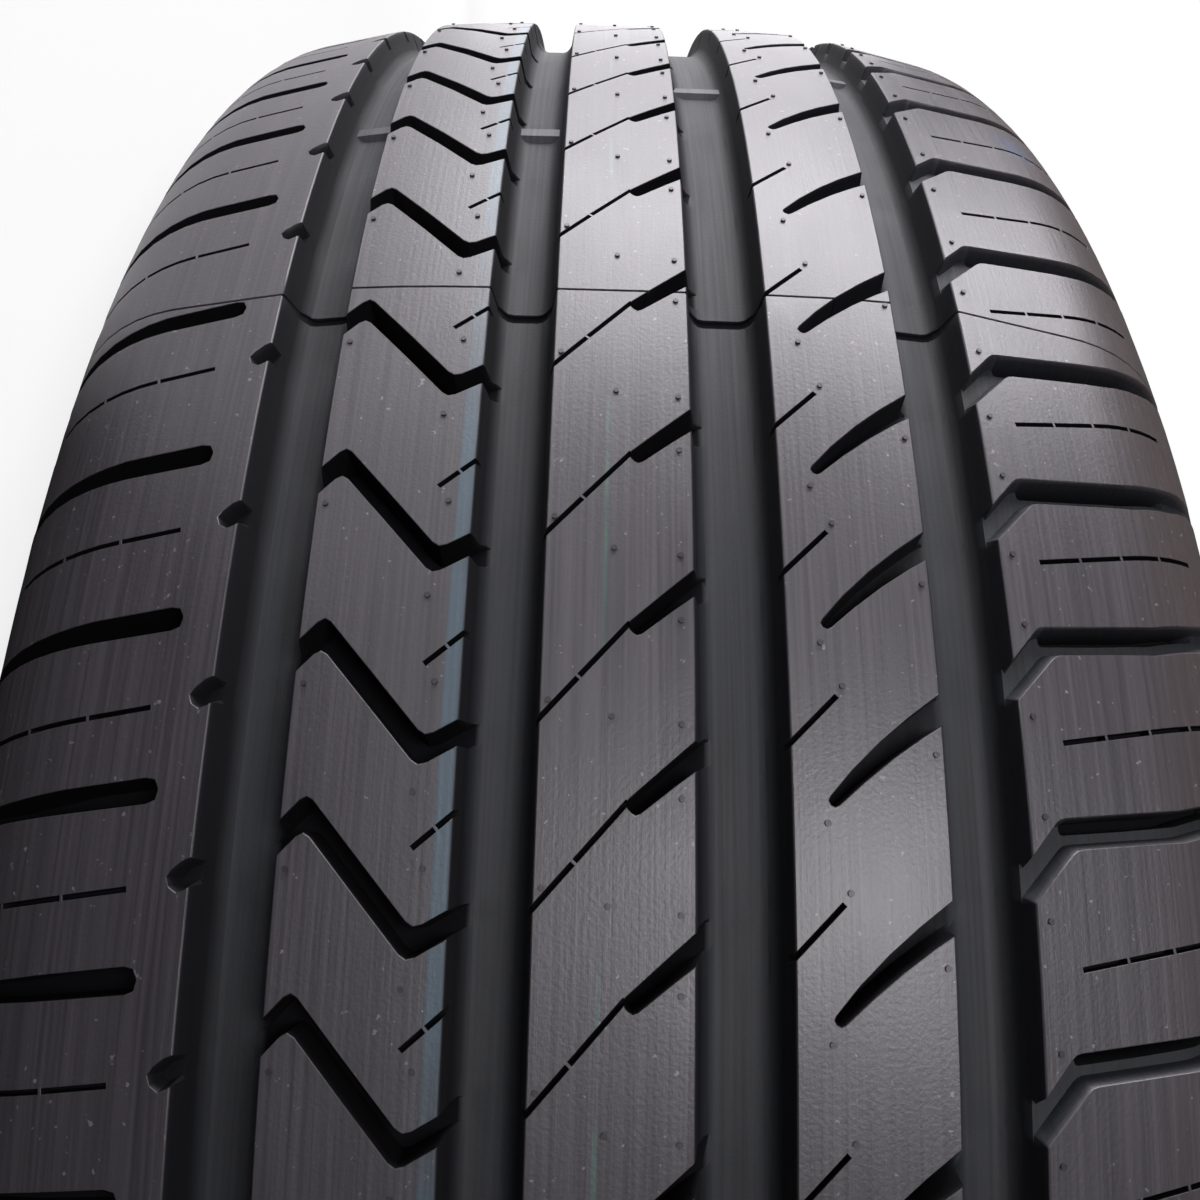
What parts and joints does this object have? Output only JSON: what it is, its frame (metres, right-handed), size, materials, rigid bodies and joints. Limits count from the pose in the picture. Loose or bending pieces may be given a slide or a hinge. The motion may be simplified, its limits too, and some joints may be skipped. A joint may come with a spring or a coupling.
{
  "type": "car tyre",
  "caption": "Road car tyre with an asymmetric tread of straight grooves, chevron cuts and slanted shoulder slots, plain sidewalls and a round rim seat",
  "frame": {"origin": "Centre of the tyre, on the wheel's axis and midway between the two beads", "axes": "+Z is the wheel's axis: the tyre lies on one sidewall, with the elbowed shoulder grooves on the upper side. -Y looks out through the tread where the picture was taken"},
  "size_m": [0.6337, 0.6342, 0.225],
  "materials": {
    "rubber": "new moulded rubber, semi-gloss"
  },
  "bodies": {
    "root": {"tyre": "rubber"}
  },
  "joints": []
}
